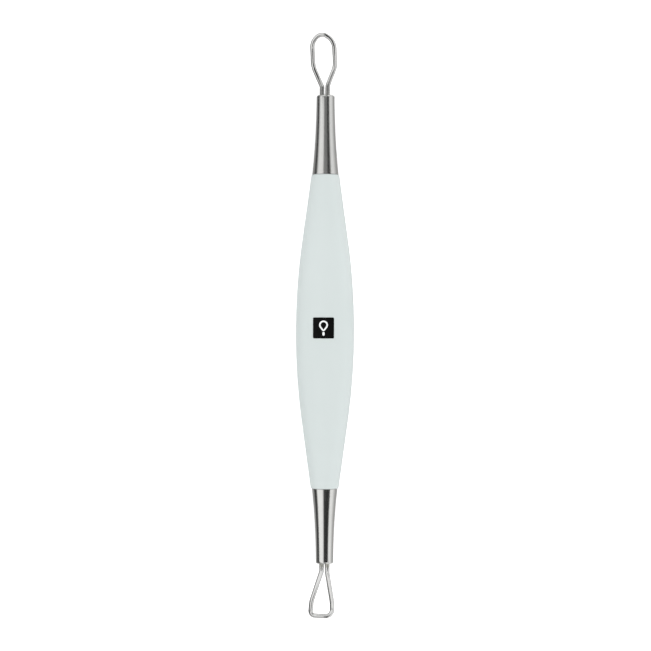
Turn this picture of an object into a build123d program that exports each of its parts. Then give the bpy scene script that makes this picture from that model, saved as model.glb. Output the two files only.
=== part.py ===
from build123d import *
from collections import namedtuple
import math
import os

# A double-ended wire-loop comedone extractor, in millimetres. An oval plastic handle carries
# a turned steel ferrule at each end, and each ferrule holds the legs of a bent wire loop.
# The tool lies on its back: +Y runs to the pear-shaped loop, +X is the right-hand side seen
# from the front, and +Z is the printed front. The origin is on the resting surface, halfway
# between the tips of the two loops.

# Lengths along the tool, from one tip to the other
upper_loop_reach = 13.3
upper_ferrule_length = 17.1
handle_length = 66.8
lower_ferrule_length = 16.17
lower_loop_reach = 11.63
overall_length = (
    upper_loop_reach
    + upper_ferrule_length
    + handle_length
    + lower_ferrule_length
    + lower_loop_reach
)

# Handle: a straight taper at each end that runs into a long belly
handle_end_radius = 2.95
taper_length = 14.3
taper_angle = math.radians(7.75)
belly_half_depth = 3.6
handle_edge_radius = 0.15
section_count = 17
land_depth = 0.12

# Sockets in the handle, and the ferrule tangs glued into them
socket_radius = 1.8
socket_depth = 14.5
tang_radius = 1.7
tang_length = 14.0
tang_chamfer = 0.4
tang_flat_depth = 0.3
tang_flat_length = 5.0
groove_count = 3
groove_pitch = 3.0
groove_width = 0.8
groove_depth = 0.2

# Ferrules: the drilled bore for the wire, and the edges at the mouth and at the handle
bore_radius = 1.3
bore_depth = 9.0
drill_half_angle = math.radians(59)
mouth_dome = 0.2
joint_chamfer = 0.1

# Wire loops and the solder that holds their legs
wire_radius = 0.475
leg_depth = 8.5
solder_recess = 0.2

# Print on the front: a dark square, and a pale loop-and-stem sign on it
emblem_side = 4.45
emblem_corner_radius = 0.25
emblem_x = -0.32
emblem_above_middle = 0.78
panel_film = 0.06
mark_film = 0.04
ring_top_radius, ring_top_y = 0.95, 0.62
ring_foot_radius, ring_foot_y = 0.36, -0.32
ring_stroke = 0.34
stem_length, stem_width, stem_y = 0.80, 0.50, -1.24

# Positions that follow from the dimensions above
half_length = handle_length / 2
belly_half_length = half_length - taper_length
belly_radius = belly_half_length / math.sin(taper_angle)
belly_rise = belly_radius * (1 - math.cos(taper_angle))
belly_half_width = handle_end_radius + taper_length * math.tan(taper_angle) + belly_rise
axis_height = belly_half_depth - land_depth
handle_top_y = overall_length / 2 - upper_loop_reach - upper_ferrule_length
handle_middle_y = handle_top_y - half_length
handle_bottom_y = handle_top_y - handle_length
tool_axis = Axis((0, 0, axis_height), (0, 1, 0))

# The two ends. Corners give each wire's centreline as (x, distance beyond the ferrule mouth),
# from the left leg round to the right leg, with the bend radius at each corner.
ToolEnd = namedtuple(
    "ToolEnd", "name outward joint_y length mouth_radius rim_radius joint_radius corners bends"
)
upper_end = ToolEnd(
    name="upper",
    outward=1,
    joint_y=handle_top_y,
    length=upper_ferrule_length,
    mouth_radius=1.93,
    rim_radius=0.4,
    joint_radius=2.81,
    corners=[
        (-0.77, 1.75),
        (-2.66, 6.0),
        (-2.90, 11.3),
        (-0.98, 13.31),
        (1.76, 11.54),
        (2.05, 6.2),
        (0.43, 1.95),
    ],
    bends=[0.6, 6.0, 2.7, 1.7, 3.0, 4.5, 3.0],
)
lower_end = ToolEnd(
    name="lower",
    outward=-1,
    joint_y=handle_bottom_y,
    length=lower_ferrule_length,
    mouth_radius=1.85,
    rim_radius=0.35,
    joint_radius=2.72,
    corners=[
        (-0.62, 1.53),
        (-2.75, 8.0),
        (-3.03, 11.0),
        (1.66, 11.22),
        (1.63, 8.28),
        (0.58, 1.88),
    ],
    bends=[1.0, 4.0, 0.95, 1.4, 4.0, 1.0],
)


def end_plane(y, outward):
    """Plane through the tool's axis at y: its x is +X, and its y points out of that end."""
    return Plane(origin=(0, y, axis_height), x_dir=(1, 0, 0), z_dir=(0, 0, outward))


def half_width(distance):
    """Half-width of the handle at a distance from its middle: belly arc, then straight taper."""
    if distance <= belly_half_length:
        return belly_half_width - belly_radius + math.sqrt(belly_radius**2 - distance**2)
    return handle_end_radius + (half_length - distance) * math.tan(taper_angle)


def half_depth(distance):
    """Half-depth of the handle: round at the ends, and flatter as the handle grows wider."""
    swell = (half_width(distance) - handle_end_radius) / (belly_half_width - handle_end_radius)
    return handle_end_radius + swell * (belly_half_depth - handle_end_radius)


def handle_blank(growth):
    """The handle's whole oval body, with its skin moved outward by growth."""
    with BuildPart() as blank:
        for index in range(section_count):
            along = handle_length * (index / (section_count - 1) - 0.5)
            section_plane = Plane(
                origin=(0, handle_middle_y + along, axis_height),
                x_dir=(1, 0, 0),
                z_dir=(0, -1, 0),
            )
            with BuildSketch(section_plane):
                Ellipse(half_width(abs(along)) + growth, half_depth(abs(along)) + growth)
        loft()
    return blank.part


def socket_fill(joint):
    """The blind socket in one end of the handle, as a solid."""
    with BuildPart() as fill:
        with BuildSketch(joint):
            Rectangle(socket_radius, socket_depth, align=(Align.MIN, Align.MAX))
        revolve(axis=tool_axis)
    return fill.part


def bore_fill(mouth, recess):
    """The drilled bore of a ferrule as a solid, filled to a recess below the mouth."""
    with BuildPart() as fill:
        with BuildSketch(mouth):
            with BuildLine():
                Polyline(
                    (0, -recess),
                    (bore_radius, -recess),
                    (bore_radius, -bore_depth),
                    (0, -bore_depth - bore_radius / math.tan(drill_half_angle)),
                    close=True,
                )
            make_face()
        revolve(axis=tool_axis)
    return fill.part


os.makedirs("parts", exist_ok=True)

# Handle, with a narrow flat along its back that it rests on
with BuildPart() as handle:
    add(handle_blank(0))
    fillet(handle.faces().sort_by(Axis.Y)[0].edges(), handle_edge_radius)
    fillet(handle.faces().sort_by(Axis.Y)[-1].edges(), handle_edge_radius)
    split(bisect_by=Plane.XY, keep=Keep.TOP)
    for end in (upper_end, lower_end):
        add(socket_fill(end_plane(end.joint_y, end.outward)), mode=Mode.SUBTRACT)
handle.part.label = "handle"
export_step(handle.part, "parts/handle.step")

for end in (upper_end, lower_end):
    joint = end_plane(end.joint_y, end.outward)
    mouth = end_plane(end.joint_y + end.outward * end.length, end.outward)

    # Ferrule: trumpet outside, drilled bore in a domed mouth, grooved tang with a flat behind
    mouth_corner = (end.mouth_radius, end.length - mouth_dome)
    with BuildPart() as ferrule:
        with BuildSketch(joint) as outline:
            with BuildLine():
                Polyline(
                    (0, end.length),
                    (0, -tang_length),
                    (tang_radius - tang_chamfer, -tang_length),
                    (tang_radius, tang_chamfer - tang_length),
                    (tang_radius, 0),
                    (end.joint_radius - joint_chamfer, 0),
                    (end.joint_radius, joint_chamfer),
                )
                TangentArc(mouth_corner, (end.joint_radius, joint_chamfer), tangent=(0, -1))
                TangentArc((0, end.length), mouth_corner, tangent=(1, 0))
            make_face()
            fillet(outline.vertices().sort_by_distance(mouth_corner)[0], end.rim_radius)
        revolve(axis=tool_axis)
        with BuildSketch(joint):
            with Locations(*((tang_radius, -groove_pitch * (i + 1)) for i in range(groove_count))):
                Rectangle(2 * groove_depth, groove_width)
        revolve(axis=tool_axis, mode=Mode.SUBTRACT)
        with BuildSketch(joint):
            with Locations((tang_radius - tang_flat_depth, -tang_length)):
                Rectangle(tang_radius, tang_flat_length, align=(Align.MIN, Align.MIN))
        extrude(amount=tang_radius, both=True, mode=Mode.SUBTRACT)
        add(bore_fill(mouth, 0), mode=Mode.SUBTRACT)
    ferrule.part.label = f"{end.name}_ferrule"
    export_step(ferrule.part, f"parts/{end.name}_ferrule.step")

    # Adhesive: what is left of the socket round the tang
    with BuildPart() as adhesive:
        add(socket_fill(joint))
        add(ferrule.part, mode=Mode.SUBTRACT)
    adhesive.part.label = f"{end.name}_tang_adhesive"
    export_step(adhesive.part, f"parts/{end.name}_tang_adhesive.step")

    # Loop: round wire bent round the corners, with both legs running back into the bore
    left_leg, right_leg = end.corners[0][0], end.corners[-1][0]
    with BuildPart() as loop:
        with BuildLine(mouth) as centreline:
            FilletPolyline(
                (left_leg, -leg_depth),
                *end.corners,
                (right_leg, -leg_depth),
                radius=end.bends,
            )
        with BuildSketch(Plane(origin=centreline.line @ 0, z_dir=centreline.line % 0)):
            Circle(wire_radius)
        sweep(path=centreline.line)
    loop.part.label = f"{end.name}_loop"
    export_step(loop.part, f"parts/{end.name}_loop.step")

    # Solder: what is left of the bore round the two wire legs
    with BuildPart() as solder:
        add(bore_fill(mouth, solder_recess))
        add(loop.part, mode=Mode.SUBTRACT)
    solder.part.label = f"{end.name}_loop_solder"
    export_step(solder.part, f"parts/{end.name}_loop_solder.step")

# Print on the crown of the handle: each film follows the curved front
emblem_plane = Plane(origin=(emblem_x, handle_middle_y + emblem_above_middle, axis_height))
prism_height = belly_half_depth + panel_film + mark_film

with BuildPart() as emblem_panel:
    with BuildSketch(emblem_plane):
        RectangleRounded(emblem_side, emblem_side, emblem_corner_radius)
    extrude(amount=prism_height)
    add(handle_blank(panel_film), mode=Mode.INTERSECT)
    add(handle_blank(0), mode=Mode.SUBTRACT)
emblem_panel.part.label = "emblem_panel"
export_step(emblem_panel.part, "parts/emblem_panel.step")

with BuildPart() as emblem_mark:
    with BuildSketch(emblem_plane):
        with Locations((0, ring_top_y)):
            Circle(ring_top_radius)
        with Locations((0, ring_foot_y)):
            Circle(ring_foot_radius)
        make_hull()
        offset(amount=-ring_stroke, mode=Mode.SUBTRACT)
        with Locations((0, stem_y)):
            SlotOverall(stem_length, stem_width, rotation=90)
    extrude(amount=prism_height)
    add(handle_blank(panel_film + mark_film), mode=Mode.INTERSECT)
    add(handle_blank(panel_film), mode=Mode.SUBTRACT)
emblem_mark.part.label = "emblem_mark"
export_step(emblem_mark.part, "parts/emblem_mark.step")
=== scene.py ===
import math

import bmesh
import bpy
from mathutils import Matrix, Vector


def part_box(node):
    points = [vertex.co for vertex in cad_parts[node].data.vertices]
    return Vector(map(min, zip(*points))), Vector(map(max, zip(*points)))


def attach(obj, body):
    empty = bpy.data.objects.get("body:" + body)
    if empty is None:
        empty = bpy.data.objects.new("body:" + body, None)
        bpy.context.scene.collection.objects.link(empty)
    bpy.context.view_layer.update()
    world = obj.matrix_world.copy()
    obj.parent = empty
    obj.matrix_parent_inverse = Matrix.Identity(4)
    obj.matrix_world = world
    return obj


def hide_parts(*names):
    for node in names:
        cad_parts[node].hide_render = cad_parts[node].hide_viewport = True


# A double-ended wire-loop comedone extractor, lying on its back on a pale floor and seen from
# straight above. Shapes are worked out in millimetres in the row frame, and make_piece turns
# them into metres.

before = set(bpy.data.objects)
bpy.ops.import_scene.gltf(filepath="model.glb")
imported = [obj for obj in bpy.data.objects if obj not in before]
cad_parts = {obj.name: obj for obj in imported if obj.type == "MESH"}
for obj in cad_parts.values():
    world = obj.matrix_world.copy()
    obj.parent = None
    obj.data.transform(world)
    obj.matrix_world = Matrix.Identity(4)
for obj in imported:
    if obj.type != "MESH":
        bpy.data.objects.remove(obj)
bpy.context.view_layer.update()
MM = 0.001


def node_box(node):
    """Lowest and highest corner of a CAD node, in millimetres."""
    low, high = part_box(node)
    return low / MM, high / MM


# Handle: a straight taper at each end that runs into a long belly
handle_low, handle_high = node_box("handle")
handle_top_y, handle_bottom_y = handle_high.y, handle_low.y
half_length = (handle_top_y - handle_bottom_y) / 2
handle_middle_y = (handle_top_y + handle_bottom_y) / 2
handle_end_radius = 2.95
taper_length = 14.3
taper_angle = math.radians(7.75)
belly_half_depth = 3.6
handle_edge_radius = 0.15
socket_radius = 1.8
socket_depth = 14.5
seam_height = 0.012
seam_half_width = 0.05
seam_offsets = (0.08, 0.05, 0.025)
seam_clearance = 0.05
belly_half_length = half_length - taper_length
belly_radius = belly_half_length / math.sin(taper_angle)
belly_rise = belly_radius * (1 - math.cos(taper_angle))
belly_half_width = handle_end_radius + taper_length * math.tan(taper_angle) + belly_rise

# Wire and bore, and the tang behind each ferrule
wire_radius = 0.475
leg_depth = 8.5
crown_radius = 10.0
solder_recess = 0.2
solder_climb_reach = 0.12
solder_climb_share = 0.7
solder_centre_radius = 0.05
bore_radius = 1.3
bore_depth = 9.0
drill_half_angle = math.radians(59)
mouth_dome = 0.2
joint_chamfer = 0.1
tang_radius = 1.7
tang_length = 14.0
tang_chamfer = 0.4
groove_centres = (3.0, 6.0, 9.0)
groove_width = 0.8
groove_depth = 0.2
edge_break = 0.05

# The tool's axis is level with the middle of the wire
loop_low, loop_high = node_box("upper_loop")
axis_height = (loop_low.z + loop_high.z) / 2

# The two ends, as in the CAD: corners are (x, distance beyond the ferrule mouth)
ENDS = {
    "upper": {
        "outward": 1,
        "joint_y": handle_top_y,
        "mouth_y": loop_low.y + leg_depth,
        "mouth_radius": 1.93,
        "rim_radius": 0.4,
        "corners": [
            (-0.77, 1.75),
            (-2.66, 6.0),
            (-2.90, 11.3),
            (-0.98, 13.31),
            (1.76, 11.54),
            (2.05, 6.2),
            (0.43, 1.95),
        ],
        "bends": [0.6, 6.0, 2.7, 1.7, 3.0, 4.5, 3.0],
        "steel": "satin_steel",
        # wire: its own colour, a darker colour painted near the mouth as shade, and how far that
        # painted shade reaches, in mm
        "wire": {"bright": (0.68, 0.68, 0.67), "mouth_shade": (0.42, 0.42, 0.41), "reach": 3.2},
    },
    "lower": {
        "outward": -1,
        "joint_y": handle_bottom_y,
        "mouth_y": node_box("lower_loop")[1].y - leg_depth,
        "mouth_radius": 1.85,
        "rim_radius": 0.35,
        "corners": [
            (-0.62, 1.53),
            (-2.75, 8.0),
            (-3.03, 11.0),
            (1.66, 11.22),
            (1.63, 8.28),
            (0.58, 1.88),
        ],
        "bends": [1.0, 4.0, 0.95, 1.4, 4.0, 1.0],
        "steel": "polished_steel",
        # wire: its own colour, a darker colour painted near the mouth as shade, and how far that
        # painted shade reaches, in mm
        "wire": {"bright": (0.74, 0.74, 0.73), "mouth_shade": (0.50, 0.495, 0.45), "reach": 1.2},
    },
}


# Mesh detail: sides round a shape, rings along it, and steps along the wire
HANDLE_SIDES, HANDLE_RINGS = 120, 160
FERRULE_SIDES, FLARE_RINGS = 128, 60
SOLDER_SIDES, SOLDER_RINGS = 96, 24
WIRE_SIDES, WIRE_STEP, FEWEST_BEND_STEPS = 32, 0.16, 6


# Mesh helpers

def make_piece(name, rings, start=None, end=None, wrap=False, sharp_angle=35.0):
    """A mesh from rings of points in millimetres, with an end point closing each open end."""
    count = len(rings[0])
    points = [p for ring in rings for p in ring]
    faces = []
    for i in range(len(rings) if wrap else len(rings) - 1):
        low, high = i * count, (i + 1) % len(rings) * count
        for j in range(count):
            k = (j + 1) % count
            faces.append((low + j, low + k, high + k, high + j))
    for pole, first in ((start, 0), (end, (len(rings) - 1) * count)):
        if pole is not None:
            points.append(pole)
            faces += [(first + j, first + (j + 1) % count, len(points) - 1) for j in range(count)]
    mesh = bpy.data.meshes.new(name)
    mesh.from_pydata([Vector(p) * MM for p in points], [], faces)
    shaper = bmesh.new()
    shaper.from_mesh(mesh)
    bmesh.ops.recalc_face_normals(shaper, faces=shaper.faces)
    shaper.to_mesh(mesh)
    shaper.free()
    mesh.shade_smooth()
    mesh.set_sharp_from_angle(angle=math.radians(sharp_angle))
    piece = bpy.data.objects.new(name, mesh)
    bpy.context.scene.collection.objects.link(piece)
    return piece


def arc(centre, radius, start, stop, steps):
    """Points of an arc in a plane, from one angle in degrees to another."""
    angles = [math.radians(start + (stop - start) * i / steps) for i in range(steps + 1)]
    return [(centre[0] + radius * math.cos(a), centre[1] + radius * math.sin(a)) for a in angles]


def spaced(start, stop, steps):
    """Evenly spaced values from start to stop."""
    return [start + (stop - start) * i / steps for i in range(steps + 1)]


def full_turn(count):
    """Evenly spaced angles round a circle, in radians."""
    return [2 * math.pi * i / count for i in range(count)]


# Handle

def half_width(distance):
    """Half-width of the handle at a distance from its middle."""
    if distance <= belly_half_length:
        return belly_half_width - belly_radius + math.sqrt(belly_radius**2 - distance**2)
    return handle_end_radius + (half_length - distance) * math.tan(taper_angle)


def half_depth(distance):
    """Half-depth of the handle at a distance from its middle."""
    swell = (half_width(distance) - handle_end_radius) / (belly_half_width - handle_end_radius)
    return handle_end_radius + swell * (belly_half_depth - handle_end_radius)


def handle_angles():
    """Angles round the handle, closer together at the moulding seam along each side."""
    near = [0.0, *seam_offsets, *(-offset for offset in seam_offsets)]
    angles = [side + offset / belly_half_depth for side in (0, math.pi) for offset in near]
    angles += [angle for angle in full_turn(HANDLE_SIDES) if abs(math.sin(angle)) > seam_clearance]
    return sorted(angle % (2 * math.pi) for angle in angles)


def handle_ring(y, inset, angles):
    """One ring of the handle's skin, flat where it rests on the floor."""
    distance = abs(y - handle_middle_y)
    width, depth = half_width(distance) - inset, half_depth(distance) - inset
    ring = []
    for angle in angles:
        from_seam = abs(depth * math.sin(angle))
        ridge = seam_height * max(0.0, 1 - (from_seam / seam_half_width) ** 2)
        reach = 0.0 if inset > 0 else ridge
        x = (width + reach) * math.cos(angle)
        ring.append((x, y, max(0.0, axis_height + depth * math.sin(angle))))
    return ring


def round_ring(y, radius, angles):
    """A circle round the tool's axis."""
    return [(radius * math.cos(a), y, axis_height + radius * math.sin(a)) for a in angles]


def make_handle():
    """The moulded handle with its two blind sockets."""
    angles = handle_angles()
    edge = handle_edge_radius
    skin_drop = edge * (1 - math.sin(taper_angle))
    centre_radius = handle_end_radius + edge * math.tan(taper_angle) - edge / math.cos(taper_angle)
    edge_arc = arc((-edge, centre_radius), edge, 0, 90 - math.degrees(taper_angle), 8)

    def edge_rings(end_y, outward):
        rings = []
        for along, radius in edge_arc:
            y = end_y + outward * along
            rings.append(handle_ring(y, half_width(abs(y - handle_middle_y)) - radius, angles))
        return rings

    socket_rings = [
        round_ring(handle_top_y - socket_depth, socket_radius, angles),
        round_ring(handle_top_y, socket_radius, angles),
    ]
    skin = [
        handle_ring(y, 0, angles)
        for y in spaced(handle_top_y - skin_drop, handle_bottom_y + skin_drop, HANDLE_RINGS)
    ]
    rings = socket_rings + edge_rings(handle_top_y, 1) + skin[1:-1]
    rings += edge_rings(handle_bottom_y, -1)[::-1]
    rings += [
        round_ring(handle_bottom_y, socket_radius, angles),
        round_ring(handle_bottom_y + socket_depth, socket_radius, angles),
    ]
    return make_piece(
        "handle_body",
        rings,
        start=(0, handle_top_y - socket_depth, axis_height),
        end=(0, handle_bottom_y + socket_depth, axis_height),
    )


# Ferrules

def ferrule_profile(end):
    """Outline of a ferrule as (distance out of the handle, radius), from bore to tang tip,
    and how far out the point of the drilled bore is."""
    length = abs(end["mouth_y"] - end["joint_y"])
    mouth_radius, rim = end["mouth_radius"], end["rim_radius"]
    joint_radius = end["joint_radius"]
    dome_radius = (mouth_radius**2 + mouth_dome**2) / (2 * mouth_dome)

    def dome(radius):
        return length - dome_radius + math.sqrt(dome_radius**2 - radius**2)

    corner = length - mouth_dome
    swell = joint_radius - mouth_radius
    reach = corner - joint_chamfer
    flare_radius = (reach**2 + swell**2) / (2 * swell)

    def flare(along):
        return mouth_radius + flare_radius - math.sqrt(flare_radius**2 - (corner - along) ** 2)

    rim_start = mouth_radius - rim
    profile = [(length - bore_depth, bore_radius)]
    bore_edge = (dome(bore_radius) - edge_break, bore_radius + edge_break)
    profile += arc(bore_edge, edge_break, 270, 360, 4)
    profile += [(dome(r), r) for r in spaced(bore_radius + 2 * edge_break, rim_start, 4)]
    profile += arc((dome(rim_start) - rim, rim_start), rim, 0, 90, 10)[1:]
    first = dome(rim_start) - rim
    profile += [(along, flare(along)) for along in spaced(first, joint_chamfer, FLARE_RINGS)[1:]]
    profile += [(0, joint_radius - joint_chamfer), (0, tang_radius)]
    for centre in groove_centres:
        near, far = -centre + groove_width / 2, -centre - groove_width / 2
        floor = tang_radius - groove_depth
        profile += [(near, tang_radius), (near, floor), (far, floor), (far, tang_radius)]
    profile.append((tang_chamfer - tang_length, tang_radius))
    profile.append((-tang_length, tang_radius - tang_chamfer))
    return profile, length - bore_depth - bore_radius / math.tan(drill_half_angle)


def make_ferrule(name, end):
    """The turned ferrule, with its drilled bore and the grooved tang inside the handle."""
    profile, drill_tip = ferrule_profile(end)
    angles = full_turn(FERRULE_SIDES)
    joint_y, outward = end["joint_y"], end["outward"]
    rings = [round_ring(joint_y + outward * along, radius, angles) for along, radius in profile]
    return make_piece(
        f"{name}_ferrule_turned",
        rings,
        start=(0, joint_y + outward * drill_tip, axis_height),
        end=(0, joint_y - outward * tang_length, axis_height),
    )


# Wire loops

def bent_line(corners, bends, step):
    """Points and directions along straight runs joined by tangent arcs."""
    stations = [(Vector(corners[0]), (Vector(corners[1]) - Vector(corners[0])).normalized())]
    for i in range(1, len(corners) - 1):
        before, corner, after = (Vector(corners[j]) for j in (i - 1, i, i + 1))
        arriving = (corner - before).normalized()
        leaving = (after - corner).normalized()
        turn = arriving.angle_signed(leaving)
        radius = bends[i - 1]
        reach = radius * math.tan(abs(turn) / 2)
        start = corner - arriving * reach
        add_run(stations, start, arriving, step)
        side = Vector((arriving.y, -arriving.x)) * (1 if turn > 0 else -1)
        centre = start + side * radius
        parts = max(FEWEST_BEND_STEPS, math.ceil(radius * abs(turn) / step))
        for part in range(1, parts + 1):
            angle = turn * part / parts
            cos, sin = math.cos(-angle), math.sin(-angle)
            heading = Vector(
                (arriving.x * cos - arriving.y * sin, arriving.x * sin + arriving.y * cos)
            )
            out = Vector((heading.y, -heading.x)) * (1 if turn > 0 else -1)
            stations.append((centre - out * radius, heading))
    last = Vector(corners[-1])
    add_run(stations, last, (last - stations[-1][0]).normalized(), step)
    return stations


def add_run(stations, stop, heading, step):
    """Adds evenly spaced stations from the last one to a point straight ahead."""
    start = stations[-1][0]
    parts = max(1, math.ceil((stop - start).length / step))
    for part in range(1, parts + 1):
        stations.append((start.lerp(stop, part / parts), heading))


def make_loop(name, end):
    """Round wire along the bent line. The loop is a little crowned, as if bent over a finger."""
    left_x, right_x = end["corners"][0][0], end["corners"][-1][0]
    corners = [(left_x, -leg_depth), *end["corners"], (right_x, -leg_depth)]
    middle_x = (left_x + right_x) / 2

    def place(across, along, height):
        return (across, end["mouth_y"] + end["outward"] * along, axis_height + height)

    def crown(point):
        return -((point.x - middle_x) ** 2) / (2 * crown_radius) if point.y > 0 else 0.0

    rings = []
    for point, heading in bent_line(corners, end["bends"], WIRE_STEP):
        side = Vector((heading.y, -heading.x))
        ring = []
        for angle in full_turn(WIRE_SIDES):
            spot = point + side * wire_radius * math.cos(angle)
            ring.append(place(spot.x, spot.y, crown(point) + wire_radius * math.sin(angle)))
        rings.append(ring)
    return make_piece(
        f"{name}_loop_wire",
        rings,
        start=place(left_x, -leg_depth, 0),
        end=place(right_x, -leg_depth, 0),
    )


def make_solder(name, end):
    """Solder in the bore, climbing the wire legs and the bore wall where it wetted them."""
    legs = [Vector((end["corners"][i][0], 0)) for i in (0, -1)]

    def surface(spot):
        from_wire = min((spot - leg).length for leg in legs) - wire_radius
        from_wall = bore_radius - spot.length
        gaps = (from_wire, from_wall)
        climb = sum(math.exp(-max(gap, 0) / solder_climb_reach) for gap in gaps)
        return -solder_recess + solder_climb_share * solder_recess * min(climb, 1)

    def place(spot, along):
        return (spot.x, end["mouth_y"] + end["outward"] * along, axis_height + spot.y)

    rings = []
    for radius in spaced(solder_centre_radius, bore_radius, SOLDER_RINGS):
        spots = [
            Vector((radius * math.cos(a), radius * math.sin(a))) for a in full_turn(SOLDER_SIDES)
        ]
        rings.append([place(spot, surface(spot)) for spot in spots])
    rings.append([place(spot, -bore_depth) for spot in spots])
    tip = -bore_depth - bore_radius / math.tan(drill_half_angle)
    return make_piece(
        f"{name}_solder_fill",
        rings,
        start=place(Vector((0, 0)), surface(Vector((0, 0)))),
        end=place(Vector((0, 0)), tip),
    )


# Materials

def shade(tree, kind, inputs=None, **settings):
    """Adds a shader node, with its settings and its inputs: numbers, colours or sockets."""
    node = tree.nodes.new(kind)
    for key, value in settings.items():
        setattr(node, key, value)
    for key, value in (inputs or {}).items():
        if isinstance(value, bpy.types.NodeSocket):
            tree.links.new(value, node.inputs[key])
        else:
            node.inputs[key].default_value = value
    return node


def new_material(name):
    """An empty material with its Principled shader, and the row frame's coordinates."""
    material = bpy.data.materials.new(name)
    material.use_nodes = True
    tree = material.node_tree
    tree.nodes.clear()
    surface = tree.nodes.new("ShaderNodeBsdfPrincipled")
    output = tree.nodes.new("ShaderNodeOutputMaterial")
    tree.links.new(surface.outputs["BSDF"], output.inputs["Surface"])
    place = tree.nodes.new("ShaderNodeTexCoord").outputs["Object"]
    return material, tree, surface, place


def stretched(tree, noise, low, high):
    """A noise value, whose middle range is spread from low to high."""
    return shade(
        tree,
        "ShaderNodeMapRange",
        {"Value": noise, "From Min": 0.3, "From Max": 0.7, "To Min": low, "To Max": high},
    ).outputs["Result"]


def patches(tree, place, size, low, high, detail=3.0):
    """Soft random patches of a size in metres, as values between low and high."""
    cloud = shade(
        tree, "ShaderNodeTexNoise", {"Vector": place, "Scale": 1 / size, "Detail": detail}
    )
    return stretched(tree, cloud.outputs["Fac"], low, high)


def tint(tree, factor, first, second):
    """A colour between two, by a factor."""
    blend = shade(
        tree,
        "ShaderNodeMix",
        {"Factor": factor, "A": (*first, 1), "B": (*second, 1)},
        data_type="RGBA",
    )
    return blend.outputs[2]


def moulded_plastic():
    """Cool off-white plastic with a satin grain, a little translucent."""
    material, tree, surface, place = new_material("handle_plastic")
    cloud = patches(tree, place, 0.012, 0, 1)
    colour = tint(tree, cloud, (0.612, 0.668, 0.66), (0.627, 0.683, 0.675))
    tree.links.new(colour, surface.inputs["Base Color"])
    tree.links.new(patches(tree, place, 0.004, 0.40, 0.48), surface.inputs["Roughness"])
    grain = shade(tree, "ShaderNodeTexNoise", {"Vector": place, "Scale": 7000, "Detail": 2.0})
    bump = shade(
        tree,
        "ShaderNodeBump",
        {"Strength": 0.25, "Distance": 0.00001, "Height": grain.outputs["Fac"]},
    )
    tree.links.new(bump.outputs["Normal"], surface.inputs["Normal"])
    surface.inputs["Subsurface Weight"].default_value = 0.15
    surface.inputs["Subsurface Radius"].default_value = (1, 1, 1)
    surface.inputs["Subsurface Scale"].default_value = 0.001
    return material


def turned_steel(name, colour, roughness, line_depth):
    """Steel with the fine lines of a lathe round it."""
    material, tree, surface, place = new_material(name)
    surface.inputs["Metallic"].default_value = 1.0
    darker = tuple(c * 0.96 for c in colour)
    tree.links.new(
        tint(tree, patches(tree, place, 0.003, 0, 1), colour, darker), surface.inputs["Base Color"]
    )
    along = shade(tree, "ShaderNodeSeparateXYZ", {"Vector": place}).outputs["Y"]
    lines = shade(
        tree,
        "ShaderNodeTexNoise",
        {"W": along, "Scale": 9000, "Detail": 4.0, "Roughness": 0.7},
        noise_dimensions="1D",
    )
    rough = stretched(tree, lines.outputs["Fac"], roughness * 0.85, roughness * 1.2)
    tree.links.new(rough, surface.inputs["Roughness"])
    bump = shade(
        tree,
        "ShaderNodeBump",
        {"Strength": 1.0, "Distance": line_depth, "Height": lines.outputs["Fac"]},
    )
    tree.links.new(bump.outputs["Normal"], surface.inputs["Normal"])
    return material


def drawn_wire(name, mouth_y, bright, mouth_shade, reach):
    """Bright drawn wire with a darker, rougher band for a short reach out of the mouth: the
    rougher finish is solder and flux, and the darker colour is painted shade from the ferrule
    mouth.
    """
    material, tree, surface, place = new_material(name)
    surface.inputs["Metallic"].default_value = 1.0
    along = shade(tree, "ShaderNodeSeparateXYZ", {"Vector": place}).outputs["Y"]
    away = shade(
        tree, "ShaderNodeMath", {0: along, 1: mouth_y * MM}, operation="SUBTRACT"
    ).outputs["Value"]
    away = shade(tree, "ShaderNodeMath", {0: away}, operation="ABSOLUTE").outputs["Value"]
    edge = patches(tree, place, 0.0006, -0.0005, 0.0005)
    away = shade(tree, "ShaderNodeMath", {0: away, 1: edge}, operation="ADD").outputs["Value"]
    # Share of the wire's own colour: none at the mouth, all of it past the reach; the rest is the
    # painted shade colour
    beyond_mouth_shade = shade(
        tree,
        "ShaderNodeMapRange",
        {"Value": away, "From Min": 0.3 * reach * MM, "From Max": reach * MM},
        interpolation_type="SMOOTHSTEP",
    ).outputs["Result"]
    streaks = patches(tree, place, 0.0012, 0.9, 1.0)
    metal = tint(tree, streaks, tuple(c * 0.85 for c in bright), bright)
    # Painted shade: the wire's colour darkens towards the ferrule mouth
    blend = shade(tree, "ShaderNodeMix", {"Factor": beyond_mouth_shade, "B": metal}, data_type="RGBA")
    blend.inputs[6].default_value = (*mouth_shade, 1)
    tree.links.new(blend.outputs[2], surface.inputs["Base Color"])
    rough = shade(tree, "ShaderNodeMapRange", {"Value": beyond_mouth_shade, "To Min": 0.28, "To Max": 0.07})
    tree.links.new(rough.outputs["Result"], surface.inputs["Roughness"])
    return material


def dull_solder():
    """Grey silver solder, left as it set."""
    material, tree, surface, place = new_material("solder")
    surface.inputs["Metallic"].default_value = 1.0
    cloud = patches(tree, place, 0.0004, 0, 1)
    colour = tint(tree, cloud, (0.42, 0.41, 0.37), (0.30, 0.295, 0.26))
    tree.links.new(colour, surface.inputs["Base Color"])
    tree.links.new(patches(tree, place, 0.0003, 0.35, 0.55), surface.inputs["Roughness"])
    return material


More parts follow.
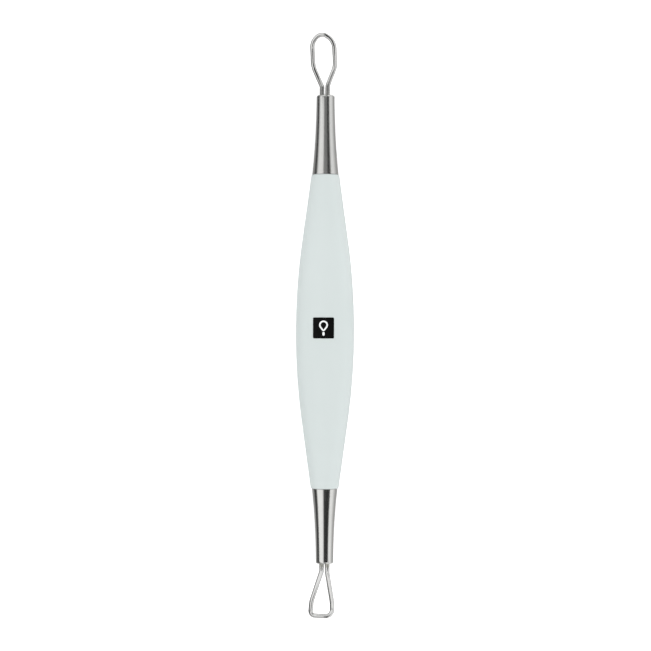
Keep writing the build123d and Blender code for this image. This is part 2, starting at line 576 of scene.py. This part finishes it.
def cured_adhesive():
    """Amber epoxy."""
    material, tree, surface, place = new_material("adhesive")
    cloud = patches(tree, place, 0.002, 0, 1)
    colour = tint(tree, cloud, (0.62, 0.50, 0.28), (0.70, 0.60, 0.38))
    tree.links.new(colour, surface.inputs["Base Color"])
    tree.links.new(patches(tree, place, 0.001, 0.2, 0.35), surface.inputs["Roughness"])
    return material


def ink(name, first, second):
    """Matt printing ink, with the faint unevenness of a pad print."""
    material, tree, surface, place = new_material(name)
    tree.links.new(
        tint(tree, patches(tree, place, 0.0006, 0, 1), first, second), surface.inputs["Base Color"]
    )
    tree.links.new(patches(tree, place, 0.0004, 0.45, 0.6), surface.inputs["Roughness"])
    surface.inputs["Specular IOR Level"].default_value = 0.08
    return material


def dress(piece, material):
    """Gives a piece one material."""
    piece.data.materials.clear()
    piece.data.materials.append(material)


def take_over(piece, node, material):
    """Dresses a piece, and puts it in the place of a CAD node."""
    dress(piece, material)
    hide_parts(node)
    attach(piece, "root")


take_over(make_handle(), "handle", moulded_plastic())

steels = {
    "satin_steel": turned_steel("satin_steel", (0.65, 0.65, 0.637), 0.21, 0.0000018),
    "polished_steel": turned_steel("polished_steel", (0.72, 0.72, 0.70), 0.13, 0.0000008),
}
solder = dull_solder()
adhesive = cured_adhesive()
for name, end in ENDS.items():
    low, high = node_box(f"{name}_ferrule")
    end["joint_radius"] = (high.x - low.x) / 2
    take_over(make_ferrule(name, end), f"{name}_ferrule", steels[end["steel"]])
    wire = drawn_wire(f"wire_steel_{name}", end["mouth_y"], **end["wire"])
    take_over(make_loop(name, end), f"{name}_loop", wire)
    take_over(make_solder(name, end), f"{name}_loop_solder", solder)
    dress(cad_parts[f"{name}_tang_adhesive"], adhesive)

black_ink = ink("print_black", (0.002, 0.002, 0.002), (0.004, 0.004, 0.004))
white_ink = ink("print_white", (0.86, 0.88, 0.88), (0.80, 0.82, 0.82))
dress(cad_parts["emblem_panel"], black_ink)
dress(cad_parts["emblem_mark"], white_ink)


# Camera, straight above, with a long lens and turned a hair about its own axis
PICTURE_WIDTH = 138.87
LENS, SENSOR = 120.0, 36.0
camera_data = bpy.data.cameras.new("camera")
camera_data.lens = LENS
camera_data.sensor_width = SENSOR
camera_data.clip_start = 0.01
camera_data.clip_end = 10
camera = bpy.data.objects.new("camera", camera_data)
camera.location = (0.10 * MM, 0.0, (axis_height + PICTURE_WIDTH * LENS / SENSOR) * MM)
camera.rotation_euler.z = math.radians(0.14)
bpy.context.scene.collection.objects.link(camera)
bpy.context.scene.camera = camera


# Studio

def glow(name, level):
    """A plain emitting material."""
    material = bpy.data.materials.new(name)
    material.use_nodes = True
    tree = material.node_tree
    tree.nodes.clear()
    light = shade(tree, "ShaderNodeEmission", {"Color": (level, level, level, 1)})
    output = tree.nodes.new("ShaderNodeOutputMaterial")
    tree.links.new(light.outputs["Emission"], output.inputs["Surface"])
    return material


STUDIO_RADIUS = 2.5
bpy.ops.mesh.primitive_circle_add(vertices=96, radius=STUDIO_RADIUS, fill_type="NGON")
floor = bpy.context.object
floor.name = "floor"
floor_paint = bpy.data.materials.new("floor_paint")
floor_paint.use_nodes = True
paint = floor_paint.node_tree.nodes["Principled BSDF"]
paint.inputs["Base Color"].default_value = (0.9, 0.9, 0.9, 1)
paint.inputs["Roughness"].default_value = 0.9
paint.inputs["Emission Color"].default_value = (1, 1, 1, 1)
paint.inputs["Emission Strength"].default_value = 0.42
floor.data.materials.append(floor_paint)
floor.visible_glossy = False

# Plain white all round, which only the camera sees
bpy.ops.mesh.primitive_uv_sphere_add(segments=64, ring_count=32, radius=STUDIO_RADIUS)
backdrop = bpy.context.object
backdrop.name = "backdrop"
backdrop.data.materials.append(glow("backdrop_white", 1.0))
backdrop.visible_diffuse = False
backdrop.visible_glossy = False
backdrop.visible_transmission = False
backdrop.visible_shadow = False

# Cards over the tool, seen only in its reflections: x range, y range, height above the axis and
# level. The first four hang high, and show in the ferrules and a little in the loops. The rest
# hang low over the two loops, and side_flag hangs lower still, in front of bar_white.
CARDS = {
    "grey_card": ((-103, 105), (65, 160), 300, 0.25),
    "left_flag": ((-230, -150), (-15, 45), 300, 0.05),
    "upper_joint_flag": ((262, 372), (142, 230), 300, 0.04),
    "lower_joint_flag": ((262, 372), (-230, -142), 300, 0.04),
    "leg_flag": ((-17, -2.5), (52, 57), 20, 0.05),
    "leg_white": ((-2.5, 8), (53.5, 57), 20, 0.8),
    "upper_flag": ((-10, 3), (57, 62), 20, 0.1),
    "upper_white": ((3, 24), (57, 60), 20, 1.0),
    "elbow_flag": ((3, 9), (60, 62), 20, 0.02),
    "crown_white": ((-30, 0), (62, 80), 20, 1.2),
    "shoulder_flag": ((0, 12), (62, 66), 20, 0.0),
    "crown_flag": ((0, 15.5), (66, 80), 20, 0.0),
    "elbow_white": ((9, 40), (60, 62), 20, 1.0),
    "shoulder_white": ((12, 40), (62, 66), 20, 1.0),
    "corner_white": ((15.5, 40), (66, 90), 20, 1.0),
    "left_grey": ((-110, -30), (57, 66), 20, 0.6),
    "lower_white": ((-36, 22), (-63, -54.6), 20, 1.0),
    "lower_flag": ((-160, -36), (-100, -57), 20, 0.05),
    "lower_grey": ((22, 32), (-63, -54.6), 20, 0.4),
    "bar_white": ((-36, -0.8), (-80, -63), 20, 0.78),
    "bar_grey": ((-36, -0.8), (-180, -80), 20, 0.45),
    "side_flag": ((-36, -20), (-100, -64), 19.5, 0.05),
    "bar_flag": ((-0.8, 10), (-95, -63), 20, 0.0),
    "bend_white": ((10, 40), (-95, -63), 20, 1.0),
}
for name, ((left, right), (bottom, top), height, level) in CARDS.items():
    bpy.ops.mesh.primitive_plane_add(size=1)
    card = bpy.context.object
    card.name = name
    card.location = (
        (left + right) / 2 * MM,
        (bottom + top) / 2 * MM,
        (axis_height + height) * MM,
    )
    card.scale = ((right - left) * MM, (top - bottom) * MM, 1)
    card.data.materials.append(glow(name, level))
    card.visible_camera = False
    card.visible_diffuse = False
    card.visible_shadow = False

# World: long studio strips either side of the tool, seen in its reflections. Each is an angle
# from straight up, towards +X, and a level. Surfaces that lean towards an end of the tool
# reflect END_STRIPS, and matt surfaces get an even sky.
LEAN_START, LEAN_END = 0.3, 0.5
EVEN_SKY = (0.74, 0.74, 0.74, 1)
STRIPS = [
    (-180, 0.5), (-128, 0.42), (-114, 0.25), (-108, 0.06), (-88, 0.05), (-79, 0.55), (-70, 1.02),
    (-62, 1.1), (-40, 1.1), (-22, 1.03), (-16, 0.8), (-9, 0.15), (-3, 0.04), (40, 0.035),
    (45, 0.3), (51, 0.9), (58, 1.03), (82, 1.0), (101, 0.66), (123, 0.44), (180, 0.5),
]
END_STRIPS = [
    (-180, 0.8), (-112, 0.3), (-92, 0.3), (-80, 0.95), (12, 0.9), (18, 0.1), (40, 0.08),
    (50, 0.9), (90, 0.95), (120, 0.8), (180, 0.8),
]


def strip_ramp(tree, share, strips):
    """A grey ramp with a stop for each strip."""
    ramp = shade(tree, "ShaderNodeValToRGB", {"Fac": share})
    stops = ramp.color_ramp.elements
    stops.remove(stops[1])
    for index, (angle, level) in enumerate(strips):
        stop = stops[0] if index == 0 else stops.new((angle + 180) / 360)
        stop.position = (angle + 180) / 360
        stop.color = (level, level, level, 1)
    return ramp.outputs["Color"]


world = bpy.data.worlds.new("studio")
bpy.context.scene.world = world
world.use_nodes = True
tree = world.node_tree
direction = shade(tree, "ShaderNodeTexCoord").outputs["Generated"]
parts = shade(tree, "ShaderNodeSeparateXYZ", {"Vector": direction})
turn = shade(
    tree, "ShaderNodeMath", {0: parts.outputs["X"], 1: parts.outputs["Z"]}, operation="ARCTAN2"
)
share = shade(
    tree,
    "ShaderNodeMapRange",
    {"Value": turn.outputs["Value"], "From Min": -math.pi, "From Max": math.pi},
).outputs["Result"]
lean = shade(tree, "ShaderNodeMath", {0: parts.outputs["Y"]}, operation="ABSOLUTE")
toward_end = shade(
    tree,
    "ShaderNodeMapRange",
    {"Value": lean.outputs["Value"], "From Min": LEAN_START, "From Max": LEAN_END},
    interpolation_type="SMOOTHSTEP",
).outputs["Result"]
reflected = shade(
    tree,
    "ShaderNodeMix",
    {
        "Factor": toward_end,
        "A": strip_ramp(tree, share, STRIPS),
        "B": strip_ramp(tree, share, END_STRIPS),
    },
    data_type="RGBA",
)
ray = shade(tree, "ShaderNodeLightPath")
sky_light = shade(
    tree,
    "ShaderNodeMix",
    {"Factor": ray.outputs["Is Diffuse Ray"], "A": reflected.outputs[2], "B": EVEN_SKY},
    data_type="RGBA",
)
tree.links.new(sky_light.outputs[2], tree.nodes["Background"].inputs["Color"])

# Soft light from above, a little from the right, that does not show in the steel
soft_light = bpy.data.lights.new("overhead", "SUN")
soft_light.energy = 1.25
soft_light.angle = math.radians(80)
overhead = bpy.data.objects.new("overhead", soft_light)
overhead.rotation_euler.y = math.radians(4)
overhead.visible_glossy = False
bpy.context.scene.collection.objects.link(overhead)

bpy.context.scene.view_settings.view_transform = "Standard"
